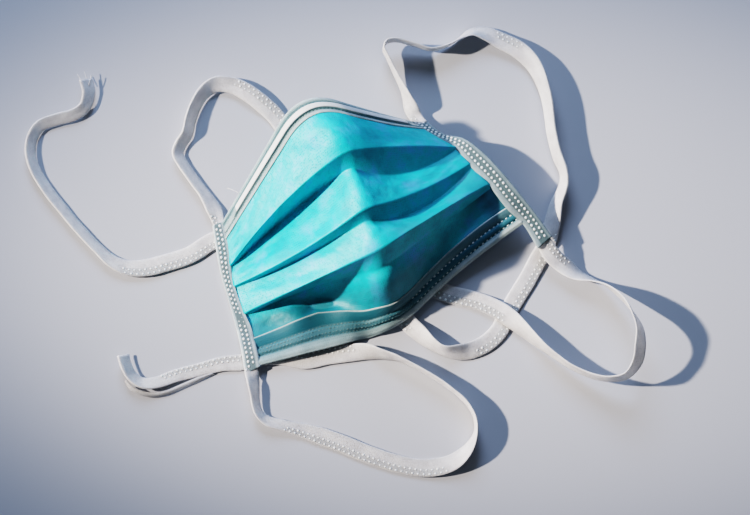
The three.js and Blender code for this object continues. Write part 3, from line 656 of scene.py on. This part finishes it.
def foldLine(row):  # one crease or edge from binding to binding, rounded at the ridge
    left, right, lift, soft, leftMid, ridge, rightMid = row
    raised = np.array([0, 0, lift * maskLay["panelWall"]])
    leftEnd = edgeLines["leftInner"](left)[0] + raised
    rightEnd = edgeLines["rightInner"](right)[0] + raised
    top, leftMid, rightMid = layPlaces(ridge), layPlaces(leftMid), layPlaces(rightMid)

    def parabola(first, middle, last, share):
        share = share[:, None]
        return (first * (1 - share) * (1 - 2 * share) + middle * 4 * share * (1 - share)
                + last * share * (2 * share - 1))

    def sharp(side):
        side = np.atleast_1d(side)
        return np.where(side[:, None] < 0, parabola(leftEnd, leftMid, top, 1 + side),
                        parabola(top, rightMid, rightEnd, side))

    share = np.clip((sides + soft) / (2 * soft), 0, 1)[:, None]
    rounded = sharp(-soft) * (1 - share) ** 2 + sharp(0.0) * 2 * share * (1 - share) + sharp(soft) * share ** 2
    return np.where(np.abs(sides)[:, None] >= soft, sharp(sides), rounded)


folds = [foldLine(row) for row in foldLines]
folds[-1][:, 2] -= hill(*maskLay["chinSag"])


def inset(line, towards, width):  # a line moved towards another by a width
    return line + unit(towards - line) * np.reshape(width, (-1, 1))


def clothRows(upper, lower, shares, bulge):  # rows of cloth between two lines
    share = np.asarray(shares, float)[:, None, None]
    rows = upper[None] * (1 - share) + lower[None] * share
    rows[..., 2] += (bulge * maskLay["height"] * 4 * share * (1 - share))[..., 0] * (1 - sides ** 4)[None]
    return rows


chinWidths = maskLay["chinHem"] * np.interp(sides, (-1, -0.5, 0, 0.5, 1), maskLay["chinHemSpread"])
topHemLine = inset(folds[0], folds[1], maskLay["topHem"])
chinHemLine = inset(folds[-1], folds[-2], chinWidths)


chinHemLine[:, 2] += hill(*maskLay["hemHill"]) - hill(*maskLay["hemValley"])
panelLines = [topHemLine] + folds[1:-1] + [chinHemLine]
panelRows = []
faceOfRow = []
for number, (cells, bulge) in enumerate(panelFaces):
    rows = clothRows(panelLines[number], panelLines[number + 1], np.linspace(0, 1, cells + 1), bulge)
    if number == 0:
        rows[..., 2] += np.sin(np.linspace(0, math.pi, cells + 1))[:, None] * hill(*maskLay["topCrest"])
    if number == len(panelFaces) - 1:  # the cloth by the chin rises beside the left binding and dips before the ridge
        start, drift, spread, rise = maskLay["chinHill"]
        for share, row in zip(np.linspace(0, 1, cells + 1), rows):
            row[:, 2] += math.sin(math.pi * share) * (hill(start + drift * share, spread, rise)
                                                      - hill(*maskLay["chinValley"]) + hill(*maskLay["chinCrest"]))
    rows = rows[min(number, 1):]  # the first row is the last of the face above
    panelRows.append(rows)
    faceOfRow += [number] * len(rows)
panelGrid = np.concatenate(panelRows)
faceOfRow = np.array(faceOfRow)
panelGrid[1:-1] = panelGrid[:-2] * 0.25 + panelGrid[1:-1] * 0.5 + panelGrid[2:] * 0.25  # rounds the creases
panelUv = clothMap(panelGrid)

creaseLook = {
    "waves": ((0.0010, 0.020, 0.6), (0.00045, 0.007, 0.7), (0.00012, 0.0028, 1.0)),  # height, size and stretch
    "edge": 6,             # rows or columns from the rim to full height
    "calm": 0.15, "calmReach": 0.006,  # the share that is left at a pleat's underside, and how far that reaches
    "underFolds": (1, 3, 5), "seed": 21,
}


def crumple(grid, uv, look):  # wrinkles along the directions of the wall, none at the rim
    directions = wallDirections(grid)
    track = np.concatenate([uv, np.full(uv.shape[:2] + (1,), look["seed"] * 0.1)], axis=-1)
    lift = sum(height * hillNoise(track * (stretch, 1, 1), size, look["seed"] + number)
               for number, (height, size, stretch) in enumerate(look["waves"]))
    rows, columns = grid.shape[:2]
    fromRim = np.minimum.outer(np.minimum(np.arange(rows), np.arange(rows)[::-1]),
                               np.minimum(np.arange(columns), np.arange(columns)[::-1]))
    lift *= np.clip(fromRim / look["edge"], 0, 1)
    down = uv[:, 0, 1]
    fromReturn = np.abs(down[:, None] - down[None, np.isin(faceOfRow, look["underFolds"])]).min(axis=1)
    lift *= np.interp(fromReturn, (0, look["calmReach"]), (look["calm"], 1))[:, None]
    return grid + unit(directions) * lift[..., None]


panelGrid = crumple(panelGrid, panelUv, creaseLook)
paintedPanelShade = {  # painted shade on the panel, as shares of the dark colour: places, then shares
    # painted shade on the returns of the second and third pleats
    "faces": (0.0, 0.0, 0.0, 0.20, 0.0, 0.06, 0.0),
    # painted shade on the cloth by the chin, growing down the face
    "chin": ((-0.45, -0.25, -0.12, 0.05, 0.30, 0.60), (0.75, 0.62, 0.60, 0.62, 0.55, 0.05)),
    "chinDown": ((0.0, 0.2, 0.5), (0.0, 0.30, 1.0)),  # down the face by the chin
    # painted shade on the chin cloth by the right binding
    "chinCorner": ((0.60, 0.82, 0.90), (0.0, 0.55, 0.95)),
    # painted shade on the faces right of the ridge
    "right": ((0.05, 0.20, 1.0), (0.0, 0.12, 0.12)),
    # more painted shade on the third face right of the ridge
    "rightThird": ((0.05, 0.20, 1.0), (0.0, 0.34, 0.34)), "thirdFace": 4,  # the face over the third crease
}
# the painted shade, one share for each point of the panel
panelShadeShare = np.repeat(np.array(paintedPanelShade["faces"])[faceOfRow][:, None], panelGrid.shape[1], axis=1)
chinRows = faceOfRow == len(panelFaces) - 1
chinTone, chinCorner, rightTone, rightThird = (np.interp(sides, *paintedPanelShade[key])[None]
                                               for key in ("chin", "chinCorner", "right", "rightThird"))
chinDown = np.interp(np.linspace(0, 1, chinRows.sum()), *paintedPanelShade["chinDown"])
panelShadeShare[chinRows] += chinTone * chinDown[:, None] + chinCorner
panelShadeShare[~chinRows] = np.maximum(panelShadeShare[~chinRows], rightTone)
panelShadeShare[faceOfRow == paintedPanelShade["thirdFace"]] += rightThird
panel = clothShell("panel.cloth", panelGrid, maskLay["panelWall"], wallDirections(panelGrid), panelUv,
                   {"layersAndPaintedShade": panelShadeShare})
dress(panel, panelCloth, "filter_panel")
print("panel ready:", len(panel.data.polygons), "faces")

wireLook = {
    "width": 0.0027, "share": 0.84, "middle": 0.50, "thick": 0.0004,
    "lift": 0.0010, "slope": 0.05, "fade": 0.05,  # of the cloth over the wire
    "cover": 1.15,         # the cover's width as a share of the wire's
    "above": 0.0001,
}
topHemLook = {
    "rows": 40, "welds": (0.27, 0.72), "press": 0.00045, "pressWidth": 0.045, "overlap": 0.0005,
    "puff": ((0.0, 0.1, 0.22, 0.80, 0.95, 1.0), (0.0, 0.0004, 0.0002, 0.0002, 0.0006, 0.0004)),
    "toneAt": (0.0, 0.06, 0.14, 0.22, 0.26, 0.34, 0.38, 0.60, 0.68, 0.76, 0.82, 0.94, 1.0),
    # shares of the dark colour across the hem: the teal panel seen through it, and painted shade that differs between
    # the two sides of the ridge
    "toneLeft": (0, 0.30, 0.55, 0.60, 0.64, 0.64, 0.46, 0.34, 0.50, 0.50, 0.36, 0.22, 0.08),
    "toneRight": (0, 0.05, 0.15, 0.30, 0.80, 0.80, 0.15, 0.20, 0.80, 0.80, 0.20, 0.10, 0),
}
chinHemLook = {
    "rows": 44, "welds": (0.40, 0.68), "fineWelds": (0.40, 0.49, 0.60, 0.68),
    "press": 0.00050, "pressWidth": 0.035, "overlap": 0.0005,
    "puff": ((0.0, 0.05, 0.20, 0.34, 0.54, 0.74, 0.88, 1.0), (0.0004, 0.0007, 0.0005, 0.0, 0.0004, 0.0, 0.0005, 0.0)),
    "toneAt": (0.0, 0.025, 0.05, 0.34, 0.38, 0.70, 0.74, 0.82, 1.0),
    # shares of the dark colour across the hem: the teal panel seen through it, and painted shade that differs between
    # the two sides of the ridge
    "toneLeft": (0.22, 0.22, 0.98, 1.0, 0.86, 0.86, 0.52, 0.44, 0.30),
    "toneRight": (0, 0, 0.74, 0.78, 0.96, 0.96, 0.34, 0.12, 0.05),
}
toRight = np.interp(sides, (-0.15, 0.25), (0, 1))[None]  # from the lit side of the ridge to the other


def grooves(shares, look):  # the cloth is pressed down along its weld rows
    return -look["press"] * sum(np.exp(-((shares - weld) / look["pressWidth"]) ** 2) for weld in look["welds"])


def makeHem(name, node, look, first, last, hump=0.0):  # a hem between two lines, puffed between its weld rows
    shares = np.linspace(0, 1, look["rows"] + 1)
    grid = clothRows(first, last, shares, 0)
    directions = wallDirections(grid)
    lift = (grooves(shares, look) + np.interp(shares, *look["puff"]))[:, None] + hump
    grid = grid + unit(directions) * lift[..., None]
    uv = clothMap(grid)
    # the left and right tones are blended by toRight, so the hem carries painted shade beyond the ridge
    left, right = (np.interp(shares, look["toneAt"], look[key])[:, None] for key in ("toneLeft", "toneRight"))
    hem = clothShell(name, grid, maskLay["hemWall"], directions, uv, {"layersAndPaintedShade": left * (1 - toRight) + right * toRight})
    return dress(hem, hemCloth, node), grid, directions, uv


shares = np.linspace(0, 1, topHemLook["rows"] + 1)
rim = wireLook["width"] / 2 / maskLay["topHem"]
hump = np.interp(np.abs(shares - wireLook["middle"]), (rim, rim + wireLook["slope"]), (wireLook["lift"], 0))
wireFade = np.clip((wireLook["share"] + wireLook["fade"] - np.abs(sides)) / wireLook["fade"], 0, 1)
topHem, topHemGrid, topHemDirections, topHemUv = makeHem(
    "hem.nose", "top_hem", topHemLook, folds[0], inset(topHemLine, folds[1], topHemLook["overlap"]),
    hump[:, None] * wireFade[None])

inWire = np.abs(sides) <= wireLook["share"]
onWire = np.abs(shares - wireLook["middle"]) <= rim * wireLook["cover"]
wireGrid = (topHemGrid + unit(topHemDirections) * wireLook["above"])[onWire][:, inWire]
wire = clothShell("nose.wire", wireGrid, wireLook["thick"], topHemDirections[onWire][:, inWire],
                  topHemUv[onWire][:, inWire], {"layersAndPaintedShade": np.zeros(wireGrid.shape[:2])})
dress(wire, wireCloth, "nose_wire")

chinHem, chinHemGrid, chinHemDirections, _ = makeHem(
    "hem.chin", "bottom_hem", chinHemLook, inset(chinHemLine, folds[-2], chinHemLook["overlap"]), folds[-1])
hemWeld = {"Length": 0.0014, "Width": 0.0010, "Height": 0.00044, "Jitter": 0.14, "Seed": 8, "Finish": hemFilm,
           "pitch": 0.0028, "Sink": 0.00010}
fineWeld = {**hemWeld, "Length": 0.0011, "Width": 0.0007, "Height": 0.00034, "Jitter": 0.30, "pitch": 0.0020,
            "Finish": seeThrough}
finest = 0.56  # the share of the chin hem, from the left, that has the fine welds
for name, grid, directions, look, rows, first, last in (
        ("welds.chin.right", chinHemGrid, chinHemDirections, hemWeld, chinHemLook["welds"], finest, 1.0),
        ("welds.nose", topHemGrid, topHemDirections, fineWeld, topHemLook["welds"], 0.0, 1.0),
        ("welds.chin.left", chinHemGrid, chinHemDirections, fineWeld, chinHemLook["fineWelds"], 0.0, finest)):
    places = [(row, look["pitch"], 0.5 * number, first, last) for number, row in enumerate(rows)]
    weldRows(name, grid, directions, places, look)
print("hems ready")

threadLook = {
    "radius": 0.00022, "sides": 5, "rings": 13,
    "routes": [  # by the top hem, then at the frayed end of the upper left tie, in mm before the shift
        [(-83.1, 29.8, 6), (-79.5, 27.5, 12), (-76.1, 25.5, 13.5)],
        [(-163.2, 88.6, 4.9), (-164.9, 91.6, 5), (-166.4, 94.2, 5.2)],
        [(-161.2, 88.4, 4.9), (-161.6, 92.4, 5), (-162.6, 95.6, 5.4)],
        [(-160, 88, 4.9), (-159.2, 91.4, 5), (-158.8, 93.6, 5)],
    ],
}


def makeThreads(look):  # all the loose threads as one piece
    points, faces = np.zeros((0, 3)), []
    ring = np.linspace(0, 2 * math.pi, look["sides"] + 1)[:-1]
    for route in look["routes"]:
        line = smoothLine(np.array(route) / 1000)(np.linspace(0, 1, look["rings"])) + layShift
        _, side, above = tapeAxes(line)
        tube = line[:, None] + look["radius"] * (side[:, None] * np.cos(ring)[None, :, None]
                                                 + above[:, None] * np.sin(ring)[None, :, None])
        faces += tubeFaces(look["rings"], look["sides"], len(points))
        points = np.concatenate([points, tube.reshape(-1, 3)])
    threads = meshObject("threads", points, faces, points[:, :2], {"layersAndPaintedShade": np.zeros(len(points))})
    dress(threads, tapeCloth)


makeThreads(threadLook)

bindingLook = {
    "rim": 0.12, "drop": 0.35, "round": 1.5,  # how far in the edges fall, how deep, and the power of their curve
    "over": 0.0010, "raise": 0.0004, "steps": 150, "rows": 26,
    "tones": {  # places from the inner edge to the outer one, and shares of the dark colour, highest over the weld rows; the right binding's higher shares are painted shade
        "left_binding": ((0.0, 0.24, 0.30, 0.78, 0.86, 1.0), (0.16, 0.34, 0.80, 0.80, 0.16, 0.06)),
        "right_binding": ((0.0, 0.24, 0.30, 0.78, 0.86, 1.0), (0.45, 0.52, 0.92, 0.92, 0.62, 0.50)),
    },
}
bindingWeld = {
    "Length": 0.0017, "Width": 0.0015, "Height": 0.00050, "Jitter": 0.12, "Seed": 3, "Finish": tapeFilm,
    "pitch": 0.0026, "rows": (0.39, 0.68), "ends": (0.02, 0.98), "Sink": 0.00006,
}


def makeBinding(side, flip):  # a tape over one side edge, from the line on the cloth to the outer one
    node = side + "_binding"
    share = np.linspace(0, 1, bindingLook["steps"] + 1)
    inner, outer = edgeLines[side + "Inner"](share), edgeLines[side + "Outer"](share)
    width = outer - inner
    wide = np.linalg.norm(width, axis=1, keepdims=True)
    start = inner - width / wide * bindingLook["over"]
    across = np.linspace(0, 1, bindingLook["rows"] + 1)
    drop = np.interp(np.minimum(across, 1 - across), (0, bindingLook["rim"]), (bindingLook["drop"], 0))
    grid = start[None] + (outer - start)[None] * across[:, None, None]
    grid[..., 2] += bindingLook["raise"] - (drop ** bindingLook["round"] * maskLay["bindingWall"])[:, None]
    if flip:
        grid = grid[::-1]
    uv = clothMap(grid)
    directions = wallDirections(grid)
    tone = np.interp(across, *bindingLook["tones"][node])
    tone = np.repeat((tone[::-1] if flip else tone)[:, None], grid.shape[1], axis=1)
    binding = clothShell("binding." + side, grid, maskLay["bindingWall"], directions, uv, {"layersAndPaintedShade": tone})
    dress(binding, bindingCloth, node)
    rows = [(1 - row if flip else row, bindingWeld["pitch"], 0.5 * number, *bindingWeld["ends"])
            for number, row in enumerate(bindingWeld["rows"])]
    weldRows("welds.binding." + side, grid, directions, rows, bindingWeld)


makeBinding("left", False)
makeBinding("right", True)
print("bindings ready")


floorLook = {"colour": (0.51, 0.525, 0.57), "roughness": 0.8, "reach": 3}
floorMaterial, floorTree, floorShader = newMaterial("paleFloor")
setSockets(floorTree, floorShader, {"Base Color": (*floorLook["colour"], 1), "Roughness": floorLook["roughness"]})
corners = [(x * floorLook["reach"], y * floorLook["reach"], 0) for x, y in ((-1, -1), (1, -1), (1, 1), (-1, 1))]
floor = meshObject("floor", corners, [(0, 1, 2, 3)])
floor.data.materials.append(floorMaterial)

lightLook = {
    "keyElevation": 31.0,
    "keyTurn": 86.0,
    "keyReach": 2.6,
    "keyPower": 336.0,
    "keyRadius": 0.05,
    "keyCone": 9.6,
    "keyColour": (1.0, 0.90, 0.80),
    "topElevation": 34.0,
    "topTurn": 12.0,       # towards the left
    "topReach": 1.5,
    "topPower": 10.0,
    "topSize": 0.80,
    "topColour": (0.54, 0.70, 1.0),
    "roomColour": (0.80, 0.90, 1.0),
    "roomPower": 0.083,
    "aim": (0.055, -0.01, 0.0),
    "exposure": 0.36,
}


def addLight(name, kind, **settings):  # turn 0 is straight above the picture, 90 is its left side
    elevation, turn, reach, power, colour = (lightLook[name + part] for part in (
        "Elevation", "Turn", "Reach", "Power", "Colour"))
    up, side = math.radians(elevation), math.radians(turn)
    flat = math.cos(up) * reach
    place = Vector(lightLook["aim"]) + Vector((-math.sin(side) * flat, math.cos(side) * flat, math.sin(up) * reach))
    data = bpy.data.lights.new(name + "Light", kind)
    for key, value in {"energy": power, "color": colour, **settings}.items():
        setattr(data, key, value)
    lamp = addObject(name + "Light", data)
    lamp.location = place
    lamp.rotation_euler = (Vector(lightLook["aim"]) - place).to_track_quat("-Z", "Y").to_euler()


addLight("key", "SPOT", shadow_soft_size=lightLook["keyRadius"], spot_size=math.radians(lightLook["keyCone"]),
         spot_blend=1.0)
addLight("top", "AREA", shape="DISK", size=lightLook["topSize"])
world = bpy.data.worlds.new("studio")
world.use_nodes = True
setSockets(world.node_tree, world.node_tree.nodes["Background"], {
    "Color": (*lightLook["roomColour"], 1), "Strength": lightLook["roomPower"]})
bpy.context.scene.world = world
colours = bpy.context.scene.view_settings
colours.view_transform = "Filmic"
colours.look = "Very High Contrast"
colours.exposure = lightLook["exposure"]

print("scene ready")
